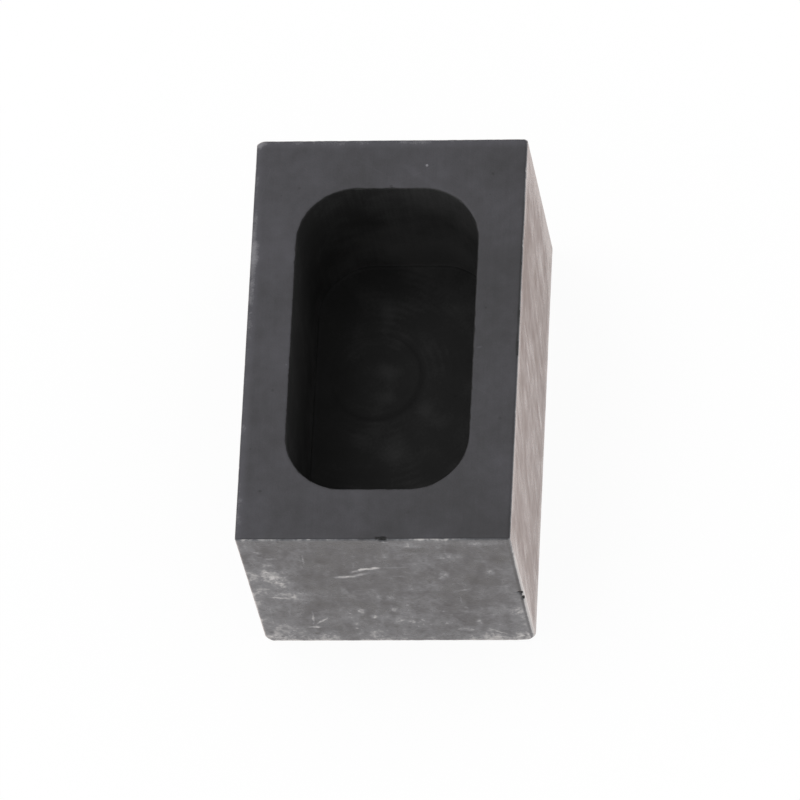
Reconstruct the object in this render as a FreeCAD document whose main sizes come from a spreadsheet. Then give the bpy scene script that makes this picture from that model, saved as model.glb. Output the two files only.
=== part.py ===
import FreeCAD, Part
import math
import os

import Sketcher
from FreeCAD import Placement, Rotation, Vector

# Graphite crucible: a block of dense pressed graphite with one blind cavity milled into its top.
# Frame: origin in the middle of the foot, +X to the right, +Y to the back, +Z up. Millimetres.

# Driving sizes: the space for the melt, the walls round it, and what tools and wear did to them
SIZES = (
    ("cavity_width", 25.0, "cavity from wall to wall along X"),
    ("cavity_length", 45.0, "cavity from wall to wall along Y"),
    ("cavity_depth", 25.0, "cavity from its floor to the rim"),
    ("cavity_corner_radius", 8.0, "the four upright corners of the cavity"),
    ("side_wall", 6.25, "thickness of the two long walls"),
    ("end_wall", 7.5, "thickness of the two short walls"),
    ("floor_thickness", 10.0, "graphite under the cavity"),
    ("floor_edge_radius", 0.5, "where the walls of the cavity meet its floor"),
    ("mouth_break", 0.2, "bevel round the mouth of the cavity"),
    ("arris_radius", 0.3, "rounding of the block's outer edges"),
    ("cutter_mark_radius", 6.5, "middle of the ring that the end mill cut where it entered the floor"),
    ("cutter_mark_width", 0.6, "width of that ring"),
    ("cutter_mark_depth", 0.1, "depth of that ring"),
    ("cutter_mark_left", 4.0, "middle of the ring, left of the middle of the block"),
    ("cutter_mark_back", 5.7, "middle of the ring, behind the middle of the block"),
    ("worn_foot_left", 1.0, "worn front left corner of the foot, along each edge"),
    ("worn_foot_right", 1.4, "worn front right corner of the foot, along each edge"),
    ("worn_rim_left", 0.9, "worn back left corner of the rim, along each edge"),
)

# The block's outside follows from the space inside and the walls
HALF_WIDTH = "(sizes.cavity_width / 2 + sizes.side_wall)"
HALF_LENGTH = "(sizes.cavity_length / 2 + sizes.end_wall)"
HEIGHT = "(sizes.cavity_depth + sizes.floor_thickness)"

# Two lengths closer than this are the same, and so are two volumes within this share
SAME_LENGTH = 1e-6
SAME_VOLUME_SHARE = 1e-6

doc = FreeCAD.newDocument("graphite_crucible")
sheet = doc.addObject("Spreadsheet::Sheet", "sizes")
for row, (alias, value, meaning) in enumerate(SIZES, start=1):
    sheet.set(f"A{row}", alias)
    sheet.set(f"B{row}", str(value))
    sheet.set(f"C{row}", meaning)
    sheet.setAlias(f"B{row}", alias)
doc.recompute()

half_width = sheet.cavity_width / 2 + sheet.side_wall
half_length = sheet.cavity_length / 2 + sheet.end_wall
height = sheet.cavity_depth + sheet.floor_thickness

# The ends of a line or arc, the middle of an arc, and the sketch's own origin, as constraints name them
START, END, MIDDLE = range(1, 4)
SKETCH_ORIGIN = (-1, 1)


def level_sketch(body, name, level):
    """An empty sketch that lies level, at a height given as an expression."""
    plane = next(part for part in body.Origin.OriginFeatures if part.Role == "XY_Plane")
    sketch = body.newObject("Sketcher::SketchObject", name)
    sketch.AttachmentSupport = (plane, [""])
    sketch.MapMode = "FlatFace"
    sketch.setExpression("AttachmentOffset.Base.z", level)
    return sketch


def constrain(sketch, kind, *where, name=None, bound_to=None):
    """Adds one constraint, and binds it by name to an expression of the sheet."""
    index = sketch.addConstraint(Sketcher.Constraint(kind, *where))
    if name:
        sketch.renameConstraint(index, name)
        sketch.setExpression(f"Constraints.{name}", bound_to)


def draw_rectangle(sketch, width, length):
    """A rectangle round the sketch's origin. Its size is (value, expression) each way."""
    x = width[0] / 2
    y = length[0] / 2
    corners = [Vector(-x, -y), Vector(x, -y), Vector(x, y), Vector(-x, y)]
    front, right, back, left = [
        sketch.addGeometry(Part.LineSegment(corners[i], corners[(i + 1) % 4])) for i in range(4)
    ]
    sides = [front, right, back, left]
    for i in range(4):
        constrain(sketch, "Coincident", sides[i], END, sides[(i + 1) % 4], START)
    for side in (front, back):
        constrain(sketch, "Horizontal", side)
    for side in (left, right):
        constrain(sketch, "Vertical", side)
    constrain(sketch, "Symmetric", front, START, back, START, *SKETCH_ORIGIN)
    constrain(sketch, "DistanceX", front, START, front, END, width[0], name="width", bound_to=width[1])
    constrain(sketch, "DistanceY", right, START, right, END, length[0], name="length", bound_to=length[1])


def draw_rounded_rectangle(sketch, width, length, radius):
    """The same with four equal round corners: a side, then its corner, all the way round."""
    x = width[0] / 2
    y = length[0] / 2
    r = radius[0]
    sides = []
    arcs = []
    for i, (a, b) in enumerate(((x, y), (y, x), (x, y), (y, x))):
        turn = Rotation(Vector(0, 0, 1), 90 * i)
        line = Part.LineSegment(turn.multVec(Vector(r - a, -b)), turn.multVec(Vector(a - r, -b)))
        circle = Part.Circle(turn.multVec(Vector(a - r, r - b)), Vector(0, 0, 1), r)
        arc = Part.ArcOfCircle(circle, (i - 1) * math.pi / 2, i * math.pi / 2)
        sides.append(sketch.addGeometry(line))
        arcs.append(sketch.addGeometry(arc))
    for i in range(4):
        constrain(sketch, "Tangent", sides[i], END, arcs[i], START)
        constrain(sketch, "Tangent", arcs[i], END, sides[(i + 1) % 4], START)
    front, right, back, left = sides
    for side in (front, back):
        constrain(sketch, "Horizontal", side)
    for side in (left, right):
        constrain(sketch, "Vertical", side)
    for arc in arcs[1:]:
        constrain(sketch, "Equal", arcs[0], arc)
    constrain(sketch, "Symmetric", arcs[0], MIDDLE, arcs[2], MIDDLE, *SKETCH_ORIGIN)
    constrain(sketch, "DistanceX", left, START, right, START, width[0], name="width", bound_to=width[1])
    constrain(sketch, "DistanceY", front, START, back, START, length[0], name="length", bound_to=length[1])
    constrain(sketch, "Radius", arcs[0], r, name="corner", bound_to=radius[1])


def edges_of(feature, wanted):
    """Names of the feature's edges that pass a test."""
    edges = feature.Shape.Edges
    return [f"Edge{number}" for number, edge in enumerate(edges, start=1) if wanted(edge)]


def lies_level_at(edge, level):
    box = edge.BoundBox
    return abs(box.ZMin - level) < SAME_LENGTH and abs(box.ZMax - level) < SAME_LENGTH


def is_outer(edge):
    """True for the twelve edges where two of the block's outer faces meet."""
    middle = edge.BoundBox.Center
    on_side = abs(abs(middle.x) - half_width) < SAME_LENGTH
    on_end = abs(abs(middle.y) - half_length) < SAME_LENGTH
    on_rim_or_foot = abs(middle.z) < SAME_LENGTH or abs(middle.z - height) < SAME_LENGTH
    return on_side + on_end + on_rim_or_foot == 2


def expect_cut(feature, before, volume):
    """Stops if a feature took away another volume than it should."""
    taken = before.Shape.Volume - feature.Shape.Volume
    if abs(taken - volume) > SAME_VOLUME_SHARE * volume:
        raise RuntimeError(f"{feature.Name} took {taken:.4f} mm3 away, not {volume:.4f}")


# Crucible block, cut from one blank
block = doc.addObject("PartDesign::Body", "crucible_block")
block.Label = "crucible_block"

# Blank: sawn and milled square
blank_outline = level_sketch(block, "blank_outline", "0")
draw_rectangle(
    blank_outline,
    (2 * half_width, f"2 * {HALF_WIDTH}"),
    (2 * half_length, f"2 * {HALF_LENGTH}"),
)
blank = block.newObject("PartDesign::Pad", "blank")
blank.Profile = blank_outline
blank.setExpression("Length", HEIGHT)
doc.recompute()

# Cavity: upright walls, four equal round corners, milled down from the rim
mouth_outline = level_sketch(block, "mouth_outline", HEIGHT)
draw_rounded_rectangle(
    mouth_outline,
    (sheet.cavity_width, "sizes.cavity_width"),
    (sheet.cavity_length, "sizes.cavity_length"),
    (sheet.cavity_corner_radius, "sizes.cavity_corner_radius"),
)
cavity = block.newObject("PartDesign::Pocket", "cavity")
cavity.Profile = mouth_outline
cavity.setExpression("Length", "sizes.cavity_depth")
doc.recompute()
corners_left = (4 - math.pi) * sheet.cavity_corner_radius**2
mouth_area = sheet.cavity_width * sheet.cavity_length - corners_left
expect_cut(cavity, blank, mouth_area * sheet.cavity_depth)

# Floor edge: the small radius that the end mill's worn tip leaves at the foot of the walls
floor_edge = block.newObject("PartDesign::Fillet", "floor_edge")
floor_edge.Base = (cavity, edges_of(cavity, lambda edge: lies_level_at(edge, sheet.floor_thickness)))
floor_edge.setExpression("Radius", "sizes.floor_edge_radius")
doc.recompute()

# Mouth: a fine bevel where the walls of the cavity meet the rim
mouth = block.newObject("PartDesign::Chamfer", "mouth")
mouth.Base = (
    floor_edge,
    edges_of(floor_edge, lambda edge: lies_level_at(edge, height) and not is_outer(edge)),
)
mouth.setExpression("Size", "sizes.mouth_break")
doc.recompute()

# Arrises: all twelve outer edges, rubbed off a little
arrises = block.newObject("PartDesign::Fillet", "arrises")
arrises.Base = (mouth, edges_of(mouth, is_outer))
arrises.setExpression("Radius", "sizes.arris_radius")
doc.recompute()

# Cutter mark: a shallow ring in the floor, left of the middle and behind it
mark_outline = level_sketch(block, "mark_outline", "sizes.floor_thickness")
mark_middle = Vector(-sheet.cutter_mark_left, sheet.cutter_mark_back)
inner_radius = sheet.cutter_mark_radius - sheet.cutter_mark_width / 2
outer_radius = sheet.cutter_mark_radius + sheet.cutter_mark_width / 2
inner_circle = mark_outline.addGeometry(Part.Circle(mark_middle, Vector(0, 0, 1), inner_radius))
outer_circle = mark_outline.addGeometry(Part.Circle(mark_middle, Vector(0, 0, 1), outer_radius))
constrain(mark_outline, "Coincident", inner_circle, MIDDLE, outer_circle, MIDDLE)
constrain(
    mark_outline, "DistanceX", inner_circle, MIDDLE, *SKETCH_ORIGIN, sheet.cutter_mark_left,
    name="left", bound_to="sizes.cutter_mark_left",
)
constrain(
    mark_outline, "DistanceY", *SKETCH_ORIGIN, inner_circle, MIDDLE, sheet.cutter_mark_back,
    name="back", bound_to="sizes.cutter_mark_back",
)
constrain(
    mark_outline, "Radius", inner_circle, inner_radius,
    name="inner", bound_to="sizes.cutter_mark_radius - sizes.cutter_mark_width / 2",
)
constrain(
    mark_outline, "Radius", outer_circle, outer_radius,
    name="outer", bound_to="sizes.cutter_mark_radius + sizes.cutter_mark_width / 2",
)
cutter_mark = block.newObject("PartDesign::Pocket", "cutter_mark")
cutter_mark.Profile = mark_outline
cutter_mark.setExpression("Length", "sizes.cutter_mark_depth")
doc.recompute()
ring_area = math.pi * (outer_radius**2 - inner_radius**2)
expect_cut(cutter_mark, arrises, ring_area * sheet.cutter_mark_depth)


def wear_corner(previous, name, side, end, top):
    """Breaks one corner of the block off flat, the same length along its three edges.

    side, end and top are -1 or 1: left or right, front or back, foot or rim.
    """
    leg = f"sizes.{name}"
    rim_or_foot = f"({HEIGHT} - {leg} / 3)" if top > 0 else f"{leg} / 3"
    sketch = level_sketch(block, f"{name}_outline", rim_or_foot)
    sketch.AttachmentOffset = Placement(Vector(), Rotation(Vector(0, 0, 1), Vector(side, end, top)))
    sketch.setExpression("AttachmentOffset.Base.x", f"{side} * ({HALF_WIDTH} - {leg} / 3)")
    sketch.setExpression("AttachmentOffset.Base.y", f"{end} * ({HALF_LENGTH} - {leg} / 3)")
    size = sheet.getPropertyByName(name)
    circle = sketch.addGeometry(Part.Circle(Vector(), Vector(0, 0, 1), size))
    constrain(sketch, "Coincident", circle, MIDDLE, *SKETCH_ORIGIN)
    constrain(sketch, "Radius", circle, size, name="reach", bound_to=leg)
    broken = block.newObject("PartDesign::Pocket", name)
    broken.Profile = sketch
    broken.Reversed = True
    broken.setExpression("Length", leg)
    doc.recompute()
    whole_corner = size**3 / 6
    if not 0 < previous.Shape.Volume - broken.Shape.Volume < whole_corner:
        raise RuntimeError(f"{name} didn't take a corner off")
    return broken


worn = wear_corner(cutter_mark, "worn_foot_left", -1, -1, -1)
worn = wear_corner(worn, "worn_foot_right", 1, -1, -1)
worn = wear_corner(worn, "worn_rim_left", -1, 1, 1)

block.Tip = worn
block.Placement = Placement()
doc.recompute()

for item in doc.Objects:
    if "Invalid" in item.State or "Error" in item.State:
        raise RuntimeError(f"{item.Name} failed: {item.State}")

# Write the one sub-part
os.makedirs("parts", exist_ok=True)
for piece in (block,):
    shape = piece.Shape
    if shape.isNull() or not shape.isValid() or len(shape.Solids) != 1:
        raise RuntimeError(f"{piece.Label} isn't one valid solid")
    shape.exportStep(os.path.join("parts", f"{piece.Label}.step"))
    box = shape.BoundBox
    print(f"{piece.Label}: {box.XLength:.2f} x {box.YLength:.2f} x {box.ZLength:.2f} mm, {shape.Volume:.1f} mm3")
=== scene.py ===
import math

import bpy
import numpy as np
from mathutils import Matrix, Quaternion, Vector, noise


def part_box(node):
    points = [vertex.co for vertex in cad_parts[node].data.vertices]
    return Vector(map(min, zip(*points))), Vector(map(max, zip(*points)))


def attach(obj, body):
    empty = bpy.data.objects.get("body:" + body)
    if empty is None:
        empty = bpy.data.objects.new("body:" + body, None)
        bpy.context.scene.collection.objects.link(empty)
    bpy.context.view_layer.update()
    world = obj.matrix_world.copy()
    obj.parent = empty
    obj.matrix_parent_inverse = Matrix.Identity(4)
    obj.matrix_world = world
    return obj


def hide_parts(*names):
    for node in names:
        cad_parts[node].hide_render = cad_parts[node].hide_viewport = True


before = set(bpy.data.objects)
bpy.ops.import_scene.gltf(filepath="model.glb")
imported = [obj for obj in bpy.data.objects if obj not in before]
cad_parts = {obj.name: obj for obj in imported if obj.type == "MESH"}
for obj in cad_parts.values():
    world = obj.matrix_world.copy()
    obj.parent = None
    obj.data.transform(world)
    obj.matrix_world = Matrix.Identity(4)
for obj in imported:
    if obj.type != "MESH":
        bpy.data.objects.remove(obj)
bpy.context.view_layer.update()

# The look of a graphite crucible: a block of pressed graphite with a milled cavity.
# Sizes are in millimetres, and MM turns them to metres.
MM = 0.001

# The block's outside, from the upper corner of its box in the frame
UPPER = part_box("crucible_block")[1]
HALF_WIDTH = UPPER.x / MM
HALF_LENGTH = UPPER.y / MM
HEIGHT = UPPER.z / MM

# The cavity and the small roundings, as the block was milled
CAVITY_HALF_WIDTH = 12.5
CAVITY_HALF_LENGTH = 22.5
CAVITY_CORNER = 8.0
FLOOR_LEVEL = 10.0
FLOOR_EDGE = 0.5
MOUTH_BREAK = 0.2
# A point on the mouth's bevel: how far in from the rim's edge, and how far down
BEVEL_MIDDLE = (0.12, 0.06)
ARRIS = 0.3

# The ring that the end mill cut where it entered the cavity floor
MARK_CENTRE = Vector((-4.0, 5.7))
MARK_RADIUS = 6.5
MARK_WIDTH = 0.7
MARK_DEPTH = 0.1

# The light: a room that is this bright, and a softbox with its width in metres and its power in watts
ROOM_LIGHT = 0.75
LAMP_PLACE = Vector((-0.5, 0.15, 1.4))
LAMP_SIZE = 0.6
LAMP_POWER = 5.0

# How far apart the mesh's points lie: close at an arris, a little wider in a mark, wide on a face,
# and how fast the steps grow on the way. On the outer walls and the rim they are so many times as long,
# and down the cavity's walls they have sizes of their own
FINE_STEP = 0.1
MARK_STEP = 1.4 * FINE_STEP
WIDE_STEP = 0.5
STEP_GROWTH = 0.25
WALL_COARSER = 1.3
RIM_COARSER = 1.2
CAVITY_FINE_STEP = 0.15
CAVITY_WIDE_STEP = 1.5

# The least radius of an outline's corners, so that their points stay apart
LEAST_RADIUS = 0.02

# Rings of points on the foot and the cavity's floor, as shares of the way out from the middle,
# or from the cutter's ring
FOOT_SHARES = (0.01, 0.25, 0.48, 0.68, 0.82, 0.9, 0.95, 0.985)
FLOOR_SHARES = (0.8, 0.55, 0.32, 0.12, 0)
INNER_SHARES = (0.85, 0.6, 0.3, 0.05)

# Chips out of the arrises: middle, half lengths along X, Y and Z, and the way in from the surface
CHIPS = (
    ((1.4, -30.0, 34.92), (0.68, 0.5, 0.52), (0, 1, -1)),
    ((0.7, -30.0, 35.05), (0.5, 0.45, 0.35), (0, 1, -1)),
    ((18.45, -30.1, 16.7), (0.35, 0.35, 0.6), (0, 1, 0)),
    ((18.1, -30.1, 17.0), (0.4, 0.25, 0.35), (0, 1, 0)),
    ((18.6, -30.1, 15.0), (0.38, 0.35, 0.8), (0, 1, 0)),
    ((18.9, 17.0, 35.15), (0.36, 2.6, 0.4), (-1, 0, -1)),
    ((18.85, 11.2, 35.05), (0.4, 0.6, 0.35), (-1, 0, -1)),
    ((18.9, 3.4, 35.15), (0.4, 3.0, 0.42), (-1, 0, -1)),
    ((18.9, -1.6, 35.15), (0.5, 2.4, 0.45), (-1, 0, -1)),
    ((18.9, -6.4, 35.15), (0.36, 1.8, 0.4), (-1, 0, -1)),
    ((-10.3, 30.1, 35.1), (0.5, 0.3, 0.3), (0, -1, -1)),
    ((-6.4, 30.1, 35.1), (0.4, 0.25, 0.25), (0, -1, -1)),
    ((6.4, 30.1, 35.1), (0.6, 0.28, 0.28), (0, -1, -1)),
)

# A chip belongs to a side when its middle lies this close to it
NEAR_SURFACE = 1.0

# Corners of the block that are worn round: where, and how far the wear reaches along X, Y and Z.
# The foot's right end was dragged over something, so its front edge is rubbed off for 9 mm
WORN_CORNERS = (
    ((-1, -1, -1), (1.6, 1.5, 2.8)),
    ((1, -1, -1), (9.0, 0.9, 0.9)),
    ((1, -1, -1), (2.1, 2.1, 2.4)),
    ((-1, 1, 1), (1.9, 1.4, 1.5)),
    ((1, 1, -1), (0.8, 1.2, 0.8)),
    ((-1, 1, -1), (1.3, 0.9, 0.9)),
    ((1, 1, 1), (1.3, 1.1, 1.0)),
    ((-1, -1, 1), (0.4, 0.4, 0.4)),
    ((1, -1, 1), (0.4, 0.4, 0.4)),
)


def spread(length, step_at):
    """Distances from 0 to a length, with steps that follow step_at(distance)."""
    path = np.linspace(0, length, 4000)
    rate = 1 / step_at(path)
    # How many steps fit up to each place on the path
    count = np.concatenate([[0], np.cumsum((rate[1:] + rate[:-1]) / 2 * np.diff(path))])
    places = np.linspace(0, count[-1], int(math.ceil(count[-1])) + 1)
    return np.interp(places, count, path)


def steps_near(distance, marks):
    """Step size at a distance from an arris, finer beside each mark on the way."""
    step = np.clip(FINE_STEP + STEP_GROWTH * (distance - ARRIS), FINE_STEP, WIDE_STEP)
    for mark, reach in marks:
        beyond = np.maximum(np.abs(distance - mark) - reach, 0)
        step = np.minimum(step, max(MARK_STEP, reach / 8) + STEP_GROWTH * beyond)
    return step


# The eight half sides of an outline, counter-clockwise from the front's middle:
# direction along the side away from its middle, direction out, and whether the way leads to the corner
HALF_SIDES = (
    ((1, 0), (0, -1), True),
    ((0, -1), (1, 0), False),
    ((0, 1), (1, 0), True),
    ((1, 0), (0, 1), False),
    ((-1, 0), (0, 1), True),
    ((0, 1), (-1, 0), False),
    ((0, -1), (-1, 0), True),
    ((-1, 0), (0, -1), False),
)


def place_stations():
    """Where the columns of the mesh stand round the block: half side and share of its length."""
    halves = []
    shares = []
    for k, (along, out, to_corner) in enumerate(HALF_SIDES):
        half = HALF_WIDTH if along[0] else HALF_LENGTH
        surface = HALF_LENGTH if out[1] else HALF_WIDTH
        length = half - ARRIS + ARRIS * math.pi / 4
        marks = []
        for middle, reach, _ in CHIPS:
            on_side = abs(middle[0] * out[0] + middle[1] * out[1]) > surface - NEAR_SURFACE
            run = middle[0] * along[0] + middle[1] * along[1]
            if on_side and 0 < run < half - NEAR_SURFACE:
                marks.append((half - run, abs(reach[0] * along[0] + reach[1] * along[1])))
        from_corner = spread(length, lambda d: steps_near(d, marks))
        share = 1 - from_corner[::-1] / length if to_corner else 1 - from_corner / length
        halves.extend([k] * (len(share) - 1))
        shares.extend(share[:-1])
    return np.array(halves), np.array(shares)


STATION_HALF, STATION_SHARE = place_stations()


def outline(half_x, half_y, radius):
    """A rounded rectangle's points and outward directions at the stations."""
    along, out = (np.array([half[i] for half in HALF_SIDES])[STATION_HALF] for i in (0, 1))
    straight = np.where(along[:, 0] != 0, half_x, half_y) - radius
    distance = STATION_SHARE * (straight + radius * math.pi / 4)
    turn = np.maximum(distance - straight, 0) / radius
    run = np.minimum(distance, straight) + radius * np.sin(turn)
    reach = np.where(out[:, 0] != 0, half_x, half_y) - radius * (1 - np.cos(turn))
    points = along * run[:, None] + out * reach[:, None]
    normals = along * np.sin(turn)[:, None] + out * np.cos(turn)[:, None]
    return points, normals


def ring(points, level):
    """A closed ring of points at one level."""
    return np.column_stack([points, np.full(len(points), level)])


def build_rings():
    """The block's skin as closed rings, from the middle of the foot, over the rim, to the cavity's floor."""
    rings = []
    zones = []

    def put(zone, points, level):
        rings.append(ring(points, level))
        zones.append(zone)

    def arris(turn):
        """The outline this far round an outer arris, from the face to the wall, and how far it has risen."""
        inset = ARRIS * (1 - math.sin(turn))
        points = outline(HALF_WIDTH - inset, HALF_LENGTH - inset, max(ARRIS - inset, LEAST_RADIUS))[0]
        return points, ARRIS * (1 - math.cos(turn))

    def cavity_outline(inset):
        """The cavity's outline, this far in from its walls."""
        return outline(CAVITY_HALF_WIDTH - inset, CAVITY_HALF_LENGTH - inset, CAVITY_CORNER - inset)[0]

    # The foot, from its middle, and its arris
    quarter = np.linspace(0, math.pi / 2, 5)
    foot = outline(HALF_WIDTH - ARRIS, HALF_LENGTH - ARRIS, LEAST_RADIUS)[0]
    for share in FOOT_SHARES:
        put("outside", foot * share, 0)
    for turn in quarter:
        points, rise = arris(turn)
        put("outside", points, rise)

    # The outer walls, with finer steps beside their chips, and the rim's arris
    wall = outline(HALF_WIDTH, HALF_LENGTH, ARRIS)[0]
    marks = [(middle[2], reach[2]) for middle, reach, _ in CHIPS if ARRIS < middle[2] < HEIGHT - ARRIS]

    def wall_step(level):
        step = steps_near(np.minimum(level, HEIGHT - level), [])
        for mark, reach in marks:
            beyond = np.maximum(np.abs(level - mark) - reach, 0)
            step = np.minimum(step, MARK_STEP + STEP_GROWTH * beyond)
        return step * WALL_COARSER

    levels = ARRIS + spread(HEIGHT - 2 * ARRIS, lambda d: wall_step(d + ARRIS))
    for level in levels[1:-1]:
        put("outside", wall, level)
    for turn in quarter[::-1]:
        points, rise = arris(turn)
        put("outside" if turn > math.pi / 5 else "rim", points, HEIGHT - rise)

    # The rim, finer towards the mouth
    rim = rings[-1][:, :2]
    mouth = cavity_outline(-MOUTH_BREAK)
    width = HALF_WIDTH - CAVITY_HALF_WIDTH

    def rim_step(distance):
        from_arris = steps_near(distance + ARRIS, []) * RIM_COARSER
        return np.minimum(from_arris, 0.16 + 0.2 * (width - distance))

    across = spread(width, rim_step)
    for share in across[1:] / width:
        put("rim" if share < 1 else "mouth", rim * (1 - share) + mouth * share, HEIGHT)

    # The mouth's bevel, the cavity's walls and the rounding at their foot
    put("mouth", cavity_outline(BEVEL_MIDDLE[0] - MOUTH_BREAK), HEIGHT - BEVEL_MIDDLE[1])
    edge = cavity_outline(0)
    put("wall", edge, HEIGHT - MOUTH_BREAK)
    depth = HEIGHT - MOUTH_BREAK - FLOOR_LEVEL - FLOOR_EDGE

    def cavity_step(drop):
        return np.clip(CAVITY_FINE_STEP + 0.3 * drop, CAVITY_FINE_STEP, CAVITY_WIDE_STEP)

    for drop in spread(depth, cavity_step)[1:]:
        put("wall", edge, HEIGHT - MOUTH_BREAK - drop)
    for turn in quarter[1:]:
        points = cavity_outline(FLOOR_EDGE * (1 - math.cos(turn)))
        put("wall" if turn < 0.5 else "floor", points, FLOOR_LEVEL + FLOOR_EDGE * (1 - math.sin(turn)))

    # The floor, in spokes from the cutter's ring
    centre = np.array(MARK_CENTRE)
    spokes = points - centre
    reach = np.hypot(spokes[:, 0], spokes[:, 1])[:, None]
    spokes = spokes / reach
    clear = MARK_RADIUS + MARK_WIDTH
    for share in FLOOR_SHARES:
        put("floor", centre + spokes * (clear + (reach - clear) * share), FLOOR_LEVEL)
    # The cutter leaned a little, so its ring is deepest at the front right
    lean = 0.6 + 0.4 * (spokes[:, 0] - spokes[:, 1]) / math.sqrt(2)
    for offset in np.linspace(MARK_WIDTH, -MARK_WIDTH, 13)[1:]:
        dip = lean * MARK_DEPTH * math.exp(-((offset / (MARK_WIDTH / 2)) ** 2))
        put("floor", centre + spokes * (MARK_RADIUS + offset), FLOOR_LEVEL - dip)
    inner = MARK_RADIUS - MARK_WIDTH
    for share in INNER_SHARES:
        put("floor", centre + spokes * inner * share, FLOOR_LEVEL)
    return np.array(rings), zones


# How the mouth's edge is torn: patches per millimetre, and how deep they go
MOUTH_TORN = ((0.9, 0.15), (2.3, 0.1))


def crumble_mouth(edge):
    """Sets one ring of points at the mouth's edge back unevenly, where the cutter tore grains out."""
    away = outline(CAVITY_HALF_WIDTH, CAVITY_HALF_LENGTH, CAVITY_CORNER)[1]
    loss = np.zeros(len(edge))
    for per_mm, depth in MOUTH_TORN:
        loss += np.array([max(noise.noise(Vector(p) * per_mm), 0) for p in edge]) * depth
    edge[:, :2] += away * loss[:, None]


# The wear of an outer arris: its least depth, how far in it fades, and where it ends
WEAR_DEPTH = 0.035
WEAR_FADE = 0.3
WEAR_END = 1.5


def wear_arrises(points):
    """Rubs the outer arrises off unevenly: a little all along, more in patches that noise picks."""
    for i, p in enumerate(points):
        gaps = np.array([HALF_WIDTH - abs(p[0]), HALF_LENGTH - abs(p[1]), min(p[2], HEIGHT - p[2])])
        # The second of the three gaps is the distance from the nearest arris
        near = np.sort(gaps)[1]
        if near > WEAR_END:
            continue
        signs = np.copysign(1, [p[0], p[1], p[2] - HEIGHT / 2])
        inward = -signs * np.exp(-gaps / 0.35)
        inward /= np.linalg.norm(inward)
        slow = noise.noise(Vector(p) * 0.45)
        quick = noise.noise(Vector(p) * 1.7 + Vector((31, 7, 3)))
        # The upright arrises wear evenly, the others crumble
        waves, crumbling = (0.015, 0.0) if gaps[2] > near else (0.05, 0.07)
        depth = WEAR_DEPTH + waves * max(slow, 0) + crumbling * max(quick - 0.05, 0)
        points[i] = p + inward * depth * math.exp(-((near / WEAR_FADE) ** 2))
    return points


def scoop(points, middle, reach, way_in):
    """Presses the points that lie in an ellipsoid roughly down to its far side. True where it cut."""
    way = np.array(way_in, float)
    way /= np.linalg.norm(way)
    q = (points - np.array(middle)) / reach
    d = way / reach
    inside = (q**2).sum(axis=1) < 1
    a = (d**2).sum()
    b = (q * d).sum(axis=1)
    c = (q**2).sum(axis=1) - 1
    far = (-b + np.sqrt(np.maximum(b**2 - a * c, 0))) / a
    rough = np.array([noise.noise(Vector(p) * 4.1) for p in points[inside]]).reshape(-1)
    points[inside] += way * (far[inside] * (1 + 0.35 * rough))[:, None]
    return inside


def wear_corner(points, signs, legs):
    """Rounds one corner of the block off, this far along each of its three edges."""
    signs = np.array(signs, float)
    corner = np.array([HALF_WIDTH, HALF_LENGTH, HEIGHT]) * np.where(signs > 0, 1, [-1, -1, 0])
    inward = -signs / math.sqrt(3)
    # Measured in legs, the worn skin is a ball whose middle lies on the corner's diagonal.
    # It passes through each of the three edges at 1
    ball = 1.6
    half = 1 / math.sqrt(3)
    centre = inward * (half + math.sqrt(half**2 - 1 + ball**2))
    place = (points - corner) / legs
    offset = place - centre
    distance = np.linalg.norm(offset, axis=1)
    near = (place @ inward < half * 1.05) & (distance > ball)
    worn = centre + offset[near] * (ball / distance[near])[:, None]
    points[near] = corner + worn * legs


# The block's finishes, in the order of its materials
RUBBED, MILLED, WALL, FLOOR, BROKEN = range(5)


def build_block():
    """One closed mesh, ring by ring, with its arrises, chips and corners worn."""
    rings, zones = build_rings()
    count = rings.shape[1]
    for level, zone in enumerate(zones):
        if zone == "mouth":
            crumble_mouth(rings[level])
    points = rings.reshape(-1, 3)
    outer = np.repeat([zone in ("outside", "rim") for zone in zones], count)
    points[outer] = wear_arrises(points[outer])
    chipped = np.zeros(len(points), bool)
    for middle, reach, way_in in CHIPS:
        chipped |= scoop(points, middle, reach, way_in)
    for signs, legs in WORN_CORNERS:
        wear_corner(points, signs, legs)

    faces = []
    finishes = []
    finish_of = {"outside": RUBBED, "rim": MILLED, "mouth": MILLED, "wall": WALL, "floor": FLOOR}
    for level in range(len(rings) - 1):
        here = level * count
        zone_finish = finish_of[zones[level + 1]]
        for i in range(count):
            j = (i + 1) % count
            corners = (here + i, here + j, here + count + j, here + count + i)
            faces.append(corners)
            finishes.append(BROKEN if chipped[list(corners)].all() else zone_finish)
    last = (len(rings) - 1) * count
    faces.append(tuple(range(count))[::-1])
    finishes.append(RUBBED)
    faces.append(tuple(range(last, last + count)))
    finishes.append(FLOOR)

    mesh = bpy.data.meshes.new("graphite_block")
    mesh.from_pydata((points * MM).tolist(), [], faces)
    mesh.polygons.foreach_set("material_index", finishes)
    mesh.shade_smooth()
    mesh.set_sharp_from_angle(angle=math.radians(50))
    mesh.validate()
    block = bpy.data.objects.new("graphite_block", mesh)
    bpy.context.collection.objects.link(block)
    return block


def linear(code):
    """Linear red, green, blue and alpha of an sRGB hex colour."""
    parts = [int(code[i:i + 2], 16) / 255 for i in (1, 3, 5)]
    return (*[c / 12.92 if c <= 0.04045 else ((c + 0.055) / 1.055) ** 2.4 for c in parts], 1)


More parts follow.
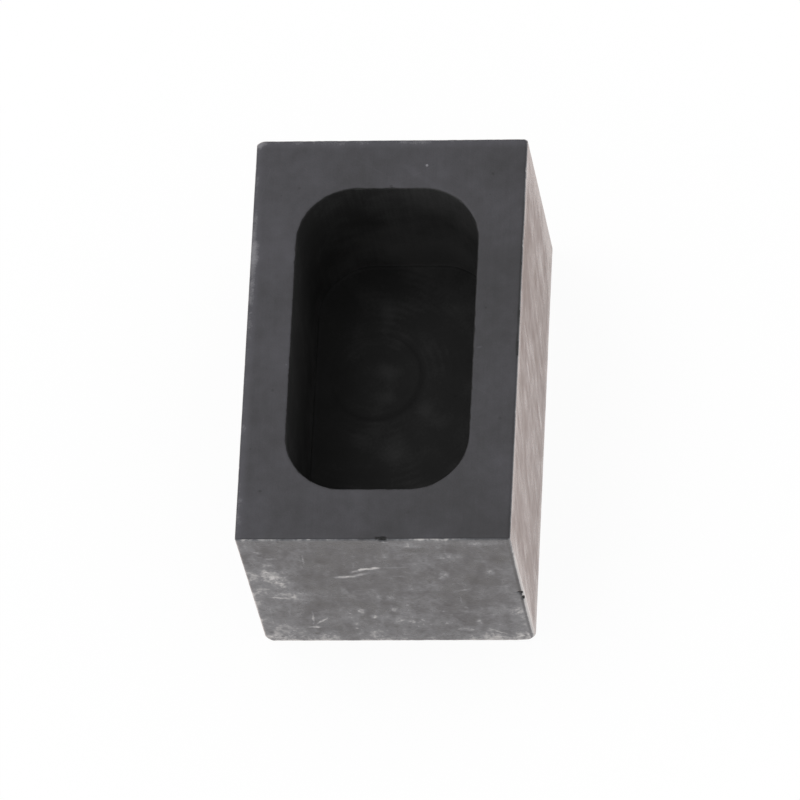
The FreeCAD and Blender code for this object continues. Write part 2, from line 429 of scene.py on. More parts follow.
def add(tree, kind, inputs=None, **settings):
    """Adds one node with its settings. An input is a value, a socket, or a node for its first output."""
    node = tree.nodes.new("ShaderNode" + kind)
    for name, value in settings.items():
        setattr(node, name, value)
    for name, value in (inputs or {}).items():
        if isinstance(value, bpy.types.Node):
            value = value.outputs[0]
        if isinstance(value, bpy.types.NodeSocket):
            tree.links.new(value, node.inputs[name])
        else:
            node.inputs[name].default_value = value
    return node


def start_material(name):
    """A material with no nodes yet but the place of a point in the block's frame, in millimetres."""
    material = bpy.data.materials.new(name)
    material.use_nodes = True
    tree = material.node_tree
    tree.nodes.clear()
    place = add(tree, "TexCoord").outputs["Object"]
    return material, tree, add(tree, "VectorMath", {0: place, "Scale": 1 / MM}, operation="SCALE")


def finish(material, tree, tone, colours, polish, roughness, height, relief, **uniform):
    """Gives the shader its colour by tone and its roughness by polish, both from 0 to 1,
    and its relief in millimetres."""
    ramp = add(tree, "ValToRGB", {"Fac": tone})
    stops = ramp.color_ramp.elements
    while len(stops) < len(colours):
        stops.new(1)
    for stop, (place, code) in zip(stops, colours):
        stop.position = place
        stop.color = linear(code)
    rough = add(tree, "MapRange", {"Value": polish, "To Min": roughness[0], "To Max": roughness[1]})
    bump = add(tree, "Bump", {"Height": height, "Distance": relief * MM})
    inputs = {"Base Color": ramp, "Roughness": rough, "Normal": bump}
    shader = add(tree, "BsdfPrincipled", inputs | uniform)
    add(tree, "OutputMaterial", {"Surface": shader})
    return material


def lay_on(tree, tone, pattern, weight=1.0):
    """Adds this much of a pattern to a tone."""
    return add(tree, "Math", {0: pattern, 1: weight, 2: tone}, operation="MULTIPLY_ADD")


def mottle(tree, tone, where, size, weight, detail=2.0):
    """Adds lighter and darker patches to a tone, each about so many millimetres across."""
    patches = add(tree, "TexNoise", {"Vector": where, "Scale": 1 / size, "Detail": detail}, normalize=False)
    return lay_on(tree, tone, patches, weight)


# Noise has a seam where all three measures are 0, so stretched patterns are shifted by this
OFF_SEAM = (7.3, 4.1, 2.6)


def stretched(tree, where, reach):
    """The same place measured in patches that are this long along X, Y and Z, in millimetres."""
    inputs = {0: where, 1: [1 / size for size in reach], 2: OFF_SEAM}
    return add(tree, "VectorMath", inputs, operation="MULTIPLY_ADD")


def pores(tree, where, spacing, radius):
    """1 in small open pores, 0 between them. Most are far smaller than the largest radius."""
    cell = add(tree, "TexVoronoi", {"Vector": where, "Scale": 1 / spacing})
    chance = add(tree, "SeparateColor", {"Color": cell.outputs["Color"]})
    few = add(tree, "Math", {0: chance, 1: 4.0}, operation="POWER")
    reach = add(tree, "Math", {0: few, 1: radius / spacing}, operation="MULTIPLY")
    return add(tree, "MapRange", {"Value": cell, "From Min": reach, "From Max": 0.0})


def scratches(tree, where, spacing, width):
    """1 along straight hairlines that run every way, one in every cell of the spacing that has one."""
    cell = add(tree, "TexVoronoi", {"Vector": where, "Scale": 1 / spacing})
    offset = add(tree, "VectorMath", {0: where, 1: cell.outputs["Position"]}, operation="SUBTRACT")
    way = add(tree, "VectorMath", {0: cell.outputs["Color"], 1: (0.5, 0.5, 0.5)}, operation="SUBTRACT")
    aside = add(tree, "VectorMath", {0: offset, 1: way}, operation="DOT_PRODUCT").outputs["Value"]
    away = add(tree, "Math", {0: aside}, operation="ABSOLUTE")
    line = add(tree, "MapRange", {"Value": away, "From Min": width / 2, "From Max": 0.0})
    along = add(tree, "MapRange", {"Value": cell, "From Min": 0.55, "From Max": 0.3})
    return add(tree, "Math", {0: line, 1: along}, operation="MULTIPLY")


def wisps(tree, where, spacing, width):
    """1 along soft curling smudges, about so far apart and so wide."""
    inputs = {"Vector": where, "Scale": 1 / spacing, "Detail": 2.0, "Distortion": 1.2}
    fold = add(tree, "TexNoise", inputs, normalize=False)
    away = add(tree, "Math", {0: fold}, operation="ABSOLUTE")
    line = add(tree, "MapRange", {"Value": away, "From Min": width / spacing, "From Max": 0.0})
    gate = add(tree, "TexNoise", {"Vector": where, "Scale": 0.8 / spacing, "Detail": 1.0}, normalize=False)
    share = add(tree, "MapRange", {"Value": gate, "From Min": -0.05, "From Max": 0.35})
    return add(tree, "Math", {0: line, 1: share}, operation="MULTIPLY")


def spots(tree, where, table, edge):
    """The strengths of the soft spots of a table, added up. Each is full until this share from its rim."""
    total = 0.0
    for middle, reach, turn, strength in table:
        turns = [math.radians(angle) for angle in turn]
        inputs = {"Vector": where, "Location": middle, "Rotation": turns, "Scale": reach}
        local = add(tree, "Mapping", inputs, vector_type="TEXTURE")
        depth = add(tree, "TexGradient", {"Vector": local}, gradient_type="SPHERICAL").outputs["Fac"]
        full = add(tree, "MapRange", {"Value": depth, "From Max": edge}, interpolation_type="SMOOTHSTEP")
        total = add(tree, "Math", {0: full, 1: strength, 2: total}, operation="MULTIPLY_ADD")
    return total


def arris_nearness(tree, where, reach):
    """1 at the block's outer arrises, falling to 0 this far in from the faces across X, Y and Z."""
    middle = add(tree, "VectorMath", {0: where, 1: (0, 0, HEIGHT / 2)}, operation="SUBTRACT")
    out = add(tree, "VectorMath", {0: middle}, operation="ABSOLUTE")
    inward = add(tree, "VectorMath", {0: (HALF_WIDTH, HALF_LENGTH, HEIGHT / 2), 1: out}, operation="SUBTRACT")
    shares = add(tree, "VectorMath", {0: inward, 1: reach}, operation="DIVIDE")
    gaps = add(tree, "SeparateXYZ", {"Vector": shares}).outputs
    less = add(tree, "Math", {0: gaps["X"], 1: gaps["Y"]}, operation="MINIMUM")
    more = add(tree, "Math", {0: gaps["X"], 1: gaps["Y"]}, operation="MAXIMUM")
    capped = add(tree, "Math", {0: more, 1: gaps["Z"]}, operation="MINIMUM")
    second = add(tree, "Math", {0: less, 1: capped}, operation="MAXIMUM")
    inputs = {"Value": second, "From Min": 1.0, "From Max": 0.0}
    return add(tree, "MapRange", inputs, interpolation_type="SMOOTHSTEP")


FRONT = -HALF_LENGTH

# Marks on the front face and a painted highlight along its upper arris: middle, half lengths along X, Y and
# Z, turn about each in degrees, and how much lighter
SCUFFS_AND_ARRIS_HIGHLIGHT = (
    # The curved double scratch, left half, middle and tail
    ((-5.4, FRONT, 22.3), (2.1, 1, 0.65), (0, -6, 0), 0.42),
    ((-3.0, FRONT, 23.1), (1.9, 1, 0.65), (0, -26, 0), 0.36),
    ((-3.2, FRONT, 24.4), (1.8, 1, 0.6), (0, -30, 0), 0.38),
    ((-1.3, FRONT, 25.1), (2.1, 1, 0.55), (0, -12, 0), 0.42),
    ((1.9, FRONT, 25.5), (2.4, 1, 0.35), (0, -3, 0), 0.22),
    ((2.3, FRONT, 22.5), (1.3, 1, 0.35), (0, 8, 0), 0.22),
    # The short one right of it, and the one at the bottom left
    ((10.2, FRONT, 17.6), (1.9, 1, 0.36), (0, -21, 0), 0.32),
    ((-11.2, FRONT, 8.3), (0.22, 1, 3.4), (0, 5, 0), 0.25),
    ((-10.0, FRONT, 7.3), (0.3, 1, 2.1), (0, 38, 0), 0.32),
    ((-11.3, FRONT, 5.1), (1.2, 1, 0.55), (0, 3, 0), 0.36),
    # Upright ones
    ((-10.2, FRONT, 28.1), (0.2, 1, 2.5), (0, 3, 0), 0.3),
    ((9.9, FRONT, 14.8), (0.18, 1, 1.8), (0, 0, 0), 0.22),
    ((-14.2, FRONT, 10.4), (0.22, 1, 1.8), (0, 4, 0), 0.2),
    # Short level ones at the left, and a dab under the chip in the rim
    ((-14.6, FRONT, 28.5), (1.6, 1, 0.3), (0, 0, 0), 0.24),
    ((-16.2, FRONT, 30.6), (0.9, 1, 0.3), (0, 8, 0), 0.2),
    ((-15.4, FRONT, 15.2), (2.4, 1, 0.25), (0, 4, 0), 0.2),
    ((1.6, FRONT, 34.0), (0.7, 1, 0.4), (0, 8, 0), 0.32),
    # The upper edge of the worn foot
    ((14.2, FRONT, 3.2), (2.8, 1, 0.3), (0, 38, 0), 0.2),
    ((17.2, FRONT, 2.0), (1.5, 1, 0.3), (0, -28, 0), 0.18),
    # Painted highlight along the front's upper arris
    ((-10.8, FRONT, HEIGHT), (10.0, 1, 0.9), (0, 0, 0), 0.12),
    ((8.0, FRONT, HEIGHT), (10.0, 1, 0.7), (0, 0, 0), 0.08),
)

# How far the saw's lines lean on the long faces, in degrees
SAW_LEAN = -18

# Places on the right face that are smoother or rougher, which shows because the eye skims along it
SKIMMED = (
    ((HALF_WIDTH, 1.0, 7.2), (1, 0.9, 4.0), (SAW_LEAN, 0, 0), 0.7),
    ((HALF_WIDTH, 0.3, 21.8), (1, 0.8, 4.5), (SAW_LEAN, 0, 0), 0.7),
    ((HALF_WIDTH, 12.3, 15.2), (1, 1.0, 4.0), (SAW_LEAN, 0, 0), 0.45),
    ((HALF_WIDTH, 20.5, 13.5), (1, 3.0, 6.0), (SAW_LEAN, 0, 0), 0.3),
    ((HALF_WIDTH, 27.0, 5.0), (1, 7.0, 14.0), (SAW_LEAN, 0, 0), 0.3),
    ((HALF_WIDTH, -5.0, 24.0), (1, 2.6, 5.0), (SAW_LEAN, 0, 0), 0.3),
    ((HALF_WIDTH, -19.5, 20.0), (1, 1.0, 3.0), (SAW_LEAN, 0, 0), 0.4),
    ((HALF_WIDTH, 11.0, 32.0), (1, 14.0, 6.0), (0, 0, 0), -0.6),
    ((HALF_WIDTH, 8.5, 22.0), (1, 3.5, 12.0), (SAW_LEAN, 0, 0), -0.25),
    ((HALF_WIDTH, -26.0, 24.0), (1, 4.0, 7.0), (SAW_LEAN, 0, 0), -0.25),
)

# Painted light and shade on the front face: a painted highlight on the upright arris at the right with a line
# of painted shade along it, and painted light on the ends of the front face and on its foot
FRONT_PAINTED_LIGHT_AND_SHADE = (
    ((HALF_WIDTH, FRONT, 18.0), (0.42, 0.9, 26.0), (0, 0, 0), 0.6),
    ((18.3, FRONT, 16.0), (0.32, 1, 28.0), (0, 0, 0), -0.34),
    ((-19.5, FRONT, 15.0), (9.0, 2, 28.0), (0, 0, 0), 0.36),
    ((19.5, FRONT, 10.0), (10.0, 2, 18.0), (0, 0, 0), 0.38),
    ((-9.0, FRONT, 2.0), (16.0, 2, 13.0), (0, 0, 0), 0.2),
    ((10.0, FRONT, 0.5), (13.0, 2, 4.5), (0, 0, 0), 0.16),
)

# Where dust has drifted on the front face
DUSTY = (
    ((1.5, FRONT, 10.0), (13.0, 2, 11.0), (0, 0, 0), 1.0),
    ((10.5, FRONT, 9.0), (10.0, 2, 11.0), (0, 0, 0), 0.8),
)

# Soft rubbed dabs on the front face: the long smear down its left side, small ones all over,
# and three dull places
SMEARS = (
    ((-15.4, FRONT, 25.0), (1.9, 2, 4.6), (0, -10, 0), 0.12),
    ((-14.3, FRONT, 20.6), (2.3, 2, 4.0), (0, -16, 0), 0.27),
    ((-12.4, FRONT, 15.6), (3.0, 2, 3.0), (0, -30, 0), 0.25),
    ((9.8, FRONT, 29.2), (2.3, 2, 2.0), (0, 0, 0), 0.15),
    ((1.1, FRONT, 29.2), (1.1, 2, 1.2), (0, 0, 0), 0.16),
    ((15.0, FRONT, 23.8), (0.9, 2, 1.2), (0, 0, 0), 0.36),
    ((13.8, FRONT, 27.5), (1.2, 2, 0.8), (0, 0, 0), 0.2),
    ((8.5, FRONT, 22.7), (1.1, 2, 2.0), (0, 20, 0), 0.34),
    ((6.7, FRONT, 19.3), (0.6, 2, 0.9), (0, 0, 0), 0.14),
    ((10.6, FRONT, 10.3), (1.5, 2, 0.9), (0, 0, 0), 0.2),
    ((11.6, FRONT, 6.6), (0.7, 2, 2.2), (0, 0, 0), 0.32),
    ((14.2, FRONT, 9.2), (1.2, 2, 1.0), (0, 0, 0), 0.14),
    ((-5.9, FRONT, 17.4), (0.8, 2, 1.8), (0, 0, 0), 0.18),
    ((-5.6, FRONT, 6.2), (0.9, 2, 1.1), (0, 0, 0), 0.18),
    ((-4.2, FRONT, 10.7), (0.9, 2, 1.4), (0, 0, 0), 0.36),
    ((-2.8, FRONT, 8.6), (0.9, 2, 1.1), (0, 0, 0), 0.42),
    ((2.3, FRONT, 6.9), (0.9, 2, 1.1), (0, 0, 0), 0.26),
    ((0.7, FRONT, 7.2), (0.9, 2, 1.2), (0, 0, 0), 0.12),
    ((0.3, FRONT, 11.1), (0.9, 2, 1.1), (0, 0, 0), 0.3),
    ((-1.4, FRONT, 15.4), (0.6, 2, 1.8), (0, 0, 0), 0.2),
    ((0.3, FRONT, 15.3), (0.8, 2, 1.4), (0, 0, 0), 0.28),
    ((0.0, FRONT, 12.5), (8.0, 2, 6.0), (0, 0, 0), 0.1),
    ((9.9, FRONT, 4.4), (2.2, 2, 1.5), (0, 0, 0), 0.3),
    ((4.3, FRONT, 33.0), (2.4, 2, 1.2), (0, 0, 0), 0.08),
    ((14.5, FRONT, 33.4), (4.4, 2, 1.4), (0, 0, 0), 0.2),
    ((5.6, FRONT, 31.3), (2.8, 2, 1.2), (0, 0, 0), -0.3),
    ((-7.4, FRONT, 27.6), (1.8, 2, 1.8), (0, 0, 0), -0.2),
    ((16.6, FRONT, 28.0), (1.8, 2, 2.0), (0, 0, 0), -0.2),
)

# How far in from the sides, the ends and the top and foot the arrises show lighter, rubbed and with a painted
# highlight, the foot is worn, and the long faces are polished
ARRIS_REACH = (0.3, 1.0, 0.9)
FOOT_REACH = (0.5, 0.5, 4.0)
HELD_REACH = (0.3, 5.0, 4.0)


def rubbed_graphite():
    """Sawn graphite that handling has burnished: silvery grey, clouded, with scuffs and open pores, and
    painted highlights, light and shade on its arrises and front face.
    """
    material, tree, where = start_material("rubbed_graphite")
    # The grains are 0.02 mm, far too fine to show, so the finest mottling is 0.4 mm
    grain = mottle(tree, 0.0, where, size=0.4, weight=1.0, detail=1.0)
    tone = lay_on(tree, 0.48, grain, 0.08)
    cloud = stretched(tree, where, (0.9, 1.5, 1.2))
    tone = mottle(tree, tone, cloud, size=1.0, weight=0.14)
    tone = mottle(tree, tone, cloud, size=3.0, weight=0.16)
    tone = mottle(tree, tone, where, size=10.0, weight=0.2)
    tone = lay_on(tree, tone, wisps(tree, where, spacing=5.0, width=0.3), 0.1)
    tone = lay_on(tree, tone, scratches(tree, where, spacing=6.0, width=0.14), 0.11)
    # Scuffs, torn at their edges, and smears that catch on the grain
    torn = add(tree, "TexNoise", {"Vector": where, "Scale": 1 / 0.8, "Detail": 2.0}, normalize=False)
    ragged = add(tree, "VectorMath", {0: torn.outputs["Color"], "Scale": 0.16}, operation="SCALE")
    around = add(tree, "VectorMath", {0: where, 1: ragged}, operation="ADD")
    # This table also holds the painted highlight along the front's upper arris
    tone = lay_on(tree, tone, spots(tree, around, SCUFFS_AND_ARRIS_HIGHLIGHT, edge=0.7))
    clumps = mottle(tree, 0.9, where, size=0.6, weight=0.5)
    tone = lay_on(tree, tone, spots(tree, around, SMEARS, edge=0.8), clumps)
    # Painted highlight, shade and light on the front face
    tone = lay_on(tree, tone, spots(tree, where, FRONT_PAINTED_LIGHT_AND_SHADE, edge=1.0))
    # Lighter at the arrises, partly rubbed and partly a painted highlight, and where the foot wears
    crumbs = mottle(tree, 0.85, where, size=2.0, weight=0.6)
    edge = add(tree, "Math", {0: arris_nearness(tree, where, ARRIS_REACH), 1: crumbs}, operation="MULTIPLY")
    tone = lay_on(tree, tone, edge, 0.2)
    level = add(tree, "SeparateXYZ", {"Vector": where}).outputs["Z"]
    low = add(tree, "Math", {0: level, 1: HEIGHT / 2}, operation="LESS_THAN")
    foot = add(tree, "Math", {0: arris_nearness(tree, around, FOOT_REACH), 1: low}, operation="MULTIPLY")
    foot = add(tree, "Math", {0: foot, 1: crumbs}, operation="MULTIPLY")
    tone = lay_on(tree, tone, foot, 0.15)
    # Specks of dust, in drifts, and open pores
    drifts = mottle(tree, spots(tree, where, DUSTY, edge=1.0), where, size=7.0, weight=1.0)
    drifts = add(tree, "MapRange", {"Value": drifts, "To Max": 0.35})
    tone = lay_on(tree, tone, pores(tree, around, spacing=0.8, radius=0.55), drifts)
    holes = pores(tree, where, spacing=1.6, radius=0.5)
    tone = lay_on(tree, tone, holes, -0.4)
    height = add(tree, "Math", {0: grain, 1: holes}, operation="SUBTRACT")
    # Handling polishes it in patches of its own along the saw's lines, and most at the long faces' edges.
    # A saw's lines are about 0.3 mm wide, too fine to show, so these are 1.4 mm
    lean = (math.radians(SAW_LEAN), 0, 0)
    inputs = {"Vector": where, "Location": OFF_SEAM, "Rotation": lean, "Scale": (1.5, 1.4, 5.5)}
    streaks = add(tree, "Mapping", inputs, vector_type="TEXTURE")
    polish = mottle(tree, 0.43, streaks, size=1.0, weight=0.44)
    polish = mottle(tree, polish, cloud, size=2.5, weight=0.26)
    polish = lay_on(tree, polish, spots(tree, around, SKIMMED, edge=0.9))
    polish = lay_on(tree, polish, arris_nearness(tree, where, HELD_REACH), 0.6)
    colours = ((0.0, "#0D0E0F"), (0.3, "#292A2D"), (0.5, "#3E3F43"), (0.75, "#66676B"), (1.0, "#C4C1BF"))
    sheen = {"Sheen Weight": 0.55, "Sheen Roughness": 0.3, "Sheen Tint": linear("#F3C9B8")}
    return finish(material, tree, tone, colours, polish, (0.42, 0.18), height, 0.008, IOR=1.5, **sheen)


# Marks on the rim, with painted light and shade among them, in the same columns as those on the front face
RIM_MARKS_AND_PAINTED_LIGHT = (
    # A broad painted highlight lightens the rim towards the back left, and it is lighter along its left and
    # back edges
    ((-HALF_WIDTH, HALF_LENGTH / 2, HEIGHT), (45.0, 70.0, 1), (0, 0, 0), 0.15),
    ((-HALF_WIDTH, 0, HEIGHT), (1.6, 100.0, 1), (0, 0, 0), 0.26),
    ((0, HALF_LENGTH, HEIGHT), (100.0, 1.6, 1), (0, 0, 0), 0.24),
    ((5.0, 26.0, HEIGHT), (0.28, 0.28, 1), (0, 0, 0), 0.6),
    ((13.4, -1.5, HEIGHT), (0.5, 0.2, 1), (0, 0, 10), 0.3),
    ((3.0, 25.2, HEIGHT), (2.6, 0.8, 1), (0, 0, -38), 0.1),
    ((5.6, 23.4, HEIGHT), (1.6, 0.6, 1), (0, 0, -40), 0.08),
    ((-15.6, -22.8, HEIGHT), (0.35, 0.25, 1), (0, 0, 0), -0.3),
    ((-12.5, 22.7, HEIGHT), (0.3, 0.3, 1), (0, 0, 0), -0.2),
    ((0.2, 22.9, HEIGHT), (0.35, 0.25, 1), (0, 0, 0), -0.3),
    ((-13.0, -4.0, HEIGHT), (0.3, 0.2, 1), (0, 0, 0), 0.15),
    # Painted shade along the right arris, beside the chips there
    ((HALF_WIDTH - 0.12, 7.5, HEIGHT), (0.3, 16.0, 1), (0, 0, 0), -0.3),
    ((HALF_WIDTH - 0.15, 3.5, HEIGHT), (0.3, 1.8, 1), (0, 0, 0), -0.45),
    ((HALF_WIDTH - 0.2, -1.2, HEIGHT), (0.34, 2.2, 1), (0, 0, 0), -0.45),
)


def milled_graphite():
    """Face-milled graphite, never handled: even matt charcoal with a faint lay from the cutter, with a
    painted highlight towards the back left and painted shade along the right arris.
    """
    material, tree, where = start_material("milled_graphite")
    # The grains are 0.02 mm, far too fine to show, so the finest mottling is 0.25 mm
    grain = mottle(tree, 0.0, where, size=0.25, weight=1.0, detail=1.0)
    tone = lay_on(tree, 0.42, grain, 0.06)
    tone = mottle(tree, tone, where, size=1.6, weight=0.09)
    tone = mottle(tree, tone, where, size=8.0, weight=0.16)
    tone = mottle(tree, tone, stretched(tree, where, (0.4, 20.0, 10.0)), size=1, weight=0.03)
    holes = pores(tree, where, spacing=2.4, radius=0.45)
    tone = lay_on(tree, tone, holes, -0.35)
    tone = lay_on(tree, tone, spots(tree, where, RIM_MARKS_AND_PAINTED_LIGHT, edge=0.7))
    tone = lay_on(tree, tone, scratches(tree, where, spacing=9.0, width=0.14), 0.06)
    height = add(tree, "Math", {0: grain, 1: holes}, operation="SUBTRACT")
    colours = ((0.0, "#0E0E10"), (0.4, "#29282C"), (0.8, "#3D3C42"), (1.0, "#737276"))
    return finish(material, tree, tone, colours, tone, (0.62, 0.55), height, 0.006, IOR=1.5)


def cavity_graphite(name, lay, colours):
    """End-milled graphite in the cavity, with the lay of the cutter. No one rubs it, and its colours are
    darker than the rim's as painted shade in the deep recess.
    """
    material, tree, where = start_material(name)
    # The grains are 0.02 mm here too, and the finest mottling is 0.4 mm
    grain = mottle(tree, 0.0, where, size=0.4, weight=1.0, detail=1.0)
    tone = lay_on(tree, 0.5, grain, 0.05)
    tone = mottle(tree, tone, where, size=5.0, weight=0.14)
    marks = lay(tree, where)
    tone = lay_on(tree, tone, marks)
    tone = lay_on(tree, tone, pores(tree, where, spacing=2.4, radius=0.4), -0.2)
    height = add(tree, "Math", {0: grain, 1: marks}, operation="ADD")
    return finish(material, tree, tone, colours, tone, (0.85, 0.75), height, 0.004, IOR=1.4)


# Painted light: where the back wall and the foot of the left wall are lighter
WALL_PAINTED_LIGHT = (
    ((12.0, CAVITY_HALF_LENGTH, 30.0), (22.0, 6.0, 16.0), (0, 0, 0), 0.24),
    ((6.0, CAVITY_HALF_LENGTH, 14.0), (24.0, 6.0, 12.0), (0, 0, 0), 0.5),
    ((-CAVITY_HALF_WIDTH, -2.0, 11.0), (5.0, 30.0, 7.0), (0, 0, 0), 0.2),
)


def wall_lay(tree, where):
    """Upright lines that the teeth of an end mill leave on a wall, drawn three times as wide as they are, and
    painted light on the back wall and the foot of the left wall.
    """
    lines = mottle(tree, 0.0, stretched(tree, where, (0.4, 0.4, 12.0)), size=1, weight=0.05)
    return lay_on(tree, lines, spots(tree, where, WALL_PAINTED_LIGHT, edge=0.9))


# Painted highlights where the cutter's marks on the floor catch the light, two darker places, painted shadow
# of the left wall on its left side, and painted light at its back end
FLOOR_PAINTED_LIGHT_AND_SHADE = (
    ((-2.1, 6.4, FLOOR_LEVEL), (2.6, 1.9, 1), (0, 0, 0), 0.12),
    ((-2.5, 2.4, FLOOR_LEVEL), (2.8, 1.7, 1), (0, 0, 0), 0.14),
    ((-2.8, 14.8, FLOOR_LEVEL), (1.5, 4.2, 1), (0, 0, 0), 0.1),
    ((3.1, 0.6, FLOOR_LEVEL), (2.2, 2.0, 1), (0, 0, 0), 0.12),
    ((-5.8, -4.2, FLOOR_LEVEL), (2.0, 2.8, 1), (0, 0, 0), 0.12),
    ((-0.6, -5.0, FLOOR_LEVEL), (2.8, 3.6, 1), (0, 0, 0), 0.14),
    ((5.5, -1.2, FLOOR_LEVEL), (3.2, 1.9, 1), (0, 0, 0), 0.08),
    ((1.0, 10.5, FLOOR_LEVEL), (1.8, 3.4, 1), (0, 0, 0), -0.05),
    ((-5.5, -9.3, FLOOR_LEVEL), (3.4, 2.2, 1), (0, 0, 0), -0.1),
    ((-13.0, -2.0, FLOOR_LEVEL), (9.0, 24.0, 1), (0, 0, 0), -0.14),
    ((6.0, 20.5, FLOOR_LEVEL), (10.0, 6.0, 1), (0, 0, 0), 0.08),
)


def floor_lay(tree, where):
    """The swirl of the end mill on the floor, round the place where it entered, with painted highlights,
    light and shade on it.
    """
    middle = (MARK_CENTRE.x, MARK_CENTRE.y, FLOOR_LEVEL)
    from_middle = add(tree, "VectorMath", {0: where, 1: middle}, operation="SUBTRACT")
    radius = add(tree, "VectorMath", {0: from_middle}, operation="LENGTH").outputs["Value"]
    total = spots(tree, where, FLOOR_PAINTED_LIGHT_AND_SHADE, edge=0.9)
    # Painted shade in the ring's groove on its deep side, at the front right
    side = add(tree, "VectorMath", {0: from_middle, 1: (1, -1, 0)}, operation="DOT_PRODUCT").outputs["Value"]
    deep = add(tree, "MapRange", {"Value": side, "From Min": -MARK_RADIUS, "From Max": MARK_RADIUS})
    off = add(tree, "Math", {0: radius, 1: MARK_RADIUS}, operation="SUBTRACT")
    off = add(tree, "Math", {0: off}, operation="ABSOLUTE")
    inside = add(tree, "MapRange", {"Value": off, "From Min": MARK_WIDTH, "From Max": 0.0})
    groove_shade = add(tree, "Math", {0: inside, 1: deep}, operation="MULTIPLY")
    total = lay_on(tree, total, groove_shade, -0.25)
    # Feed marks, 1.1 mm apart, fading in and out. A wave's rings lie a tenth of pi apart at a scale of 1
    inputs = {"Vector": from_middle, "Scale": math.pi / 10 / 1.1, "Distortion": 0.8, "Detail": 1.0}
    rings = add(tree, "TexWave", inputs, wave_type="RINGS", rings_direction="Z").outputs["Fac"]
    return lay_on(tree, total, rings, mottle(tree, 0.02, where, size=7.0, weight=0.08))


def broken_graphite():
    """Fresh fracture in a chip: open grain that holds no light."""
    material, tree, where = start_material("broken_graphite")
    grain = mottle(tree, 0.5, where, size=0.15, weight=0.8)
    colours = ((0.0, "#080808"), (1.0, "#343434"))
    return finish(material, tree, grain, colours, grain, (0.95, 0.85), grain, 0.05, IOR=1.5)


block = build_block()
for material in (
    rubbed_graphite(),
    milled_graphite(),
    # The cavity's colours are darker than the rim's, as painted shade in the recess
    cavity_graphite("end_milled_wall", wall_lay, ((0.0, "#0A0A0A"), (0.5, "#1D1D1D"), (1.0, "#484848"))),
    cavity_graphite("end_milled_floor", floor_lay, ((0.0, "#040404"), (0.5, "#171717"), (1.0, "#3A3A3A"))),
    broken_graphite(),
):
    block.data.materials.append(material)
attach(block, "root")
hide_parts("crucible_block")


def seen_directly(tree):
    """1 for a ray from the camera, straight, mirrored or let through, 0 for one that only carries light."""
    rays = add(tree, "LightPath").outputs
    seen = add(tree, "Math", {0: rays["Is Camera Ray"], 1: rays["Is Glossy Ray"]}, operation="MAXIMUM")
    return add(tree, "Math", {0: seen, 1: rays["Is Transmission Ray"]}, operation="MAXIMUM")


# Round the block the paper takes its shadow. This is the share of plain white there,
# and from the first of these distances to the second it grows to 1
WHITE_SHARE = 0.94
WHITE_FROM = 30.0
WHITE_TO = 80.0


def white_paper():
    """Matt white paper: it takes the block's soft shadow close by, and is plain white further off."""
    material, tree, where = start_material("white_paper")
    diffuse = add(tree, "BsdfDiffuse", {"Color": linear("#FAFAFA")})
    glow = add(tree, "Emission", {"Color": (1, 1, 1, 1), "Strength": 1.0})
    distance = add(tree, "VectorMath", {0: where}, operation="LENGTH").outputs["Value"]
    inputs = {"Value": distance, "From Min": WHITE_FROM, "From Max": WHITE_TO, "To Min": WHITE_SHARE}
    share = add(tree, "MapRange", inputs)
    factor = add(tree, "Math", {0: share, 1: seen_directly(tree)}, operation="MULTIPLY")
    surface = add(tree, "MixShader", {0: factor, 1: diffuse, 2: glow})
    add(tree, "OutputMaterial", {"Surface": surface})
    return material


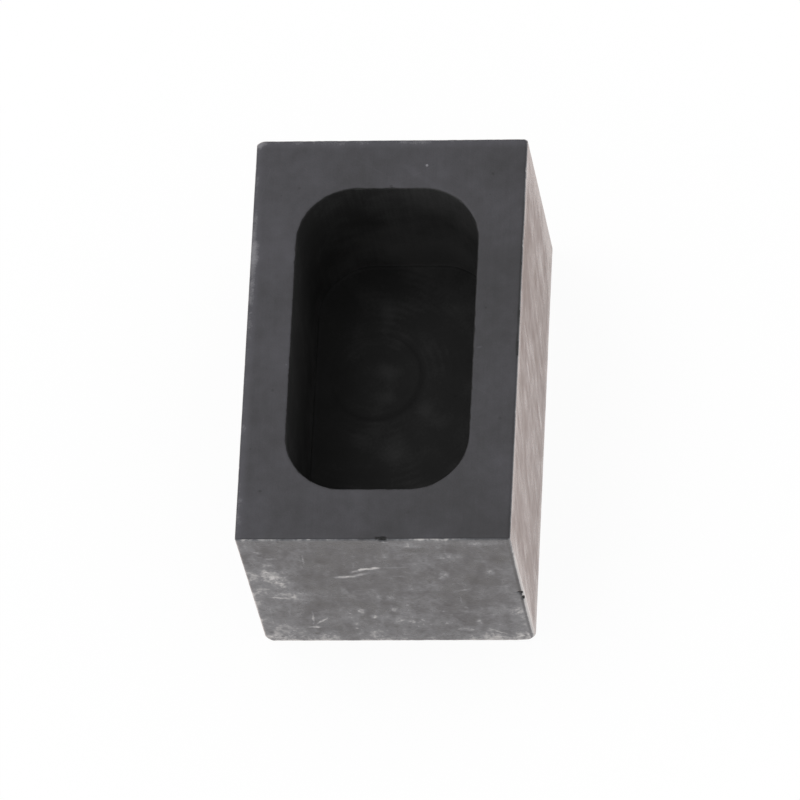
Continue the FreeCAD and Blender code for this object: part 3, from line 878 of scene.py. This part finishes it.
# Half the paper's width, in metres. It lies a hair below the block's foot, so that the two faces
# don't share a plane
PAPER_HALF = 4.0
PAPER_LEVEL = -0.02 * MM
floor_mesh = bpy.data.meshes.new("floor")
around = ((-1, -1), (1, -1), (1, 1), (-1, 1))
paper_corners = [(x * PAPER_HALF, y * PAPER_HALF, PAPER_LEVEL) for x, y in around]
floor_mesh.from_pydata(paper_corners, [], [(0, 1, 2, 3)])
floor = bpy.data.objects.new("floor", floor_mesh)
bpy.context.collection.objects.link(floor)
floor.data.materials.append(white_paper())

# Soft room light from all round, which the eye sees as plain white
world = bpy.data.worlds.new("studio")
bpy.context.scene.world = world
world.use_nodes = True
world.node_tree.nodes.clear()
room = add(world.node_tree, "Background", {"Color": (1, 1, 1, 1), "Strength": ROOM_LIGHT})
white = add(world.node_tree, "Background", {"Color": (1, 1, 1, 1), "Strength": 1.0})
sky = add(world.node_tree, "MixShader", {0: seen_directly(world.node_tree), 1: room, 2: white})
add(world.node_tree, "OutputWorld", {"Surface": sky})

# One large soft lamp, high at the left
lamp_data = bpy.data.lights.new("softbox", "AREA")
lamp_data.shape = "SQUARE"
lamp_data.size = LAMP_SIZE
lamp_data.energy = LAMP_POWER
lamp = bpy.data.objects.new("softbox", lamp_data)
bpy.context.collection.objects.link(lamp)
lamp.location = LAMP_PLACE
lamp.rotation_mode = "QUATERNION"
lamp.rotation_quaternion = (-lamp.location).to_track_quat("-Z", "Y")

# The camera: where it looks, from how far, from which side and how high, its tilt and its lens in millimetres
CAMERA_AIM = Vector((0.537, -1.366, 17.5)) * MM
CAMERA_DISTANCE = 1374.48 * MM
CAMERA_AZIMUTH = math.radians(16.367)
CAMERA_ELEVATION = math.radians(64.572)
CAMERA_ROLL = math.radians(-15.168)
CAMERA_LENS = 449.3
camera = bpy.data.objects.new("camera", bpy.data.cameras.new("camera"))
bpy.context.collection.objects.link(camera)
camera.data.sensor_width = 36
camera.data.lens = CAMERA_LENS
camera.data.clip_end = 20
back = Vector((
    math.sin(CAMERA_AZIMUTH) * math.cos(CAMERA_ELEVATION),
    -math.cos(CAMERA_AZIMUTH) * math.cos(CAMERA_ELEVATION),
    math.sin(CAMERA_ELEVATION),
))
camera.location = CAMERA_AIM + back * CAMERA_DISTANCE
camera.rotation_mode = "QUATERNION"
camera.rotation_quaternion = (-back).to_track_quat("-Z", "Y") @ Quaternion((0, 0, 1), CAMERA_ROLL)
bpy.context.scene.camera = camera
bpy.context.scene.view_settings.view_transform = "Standard"
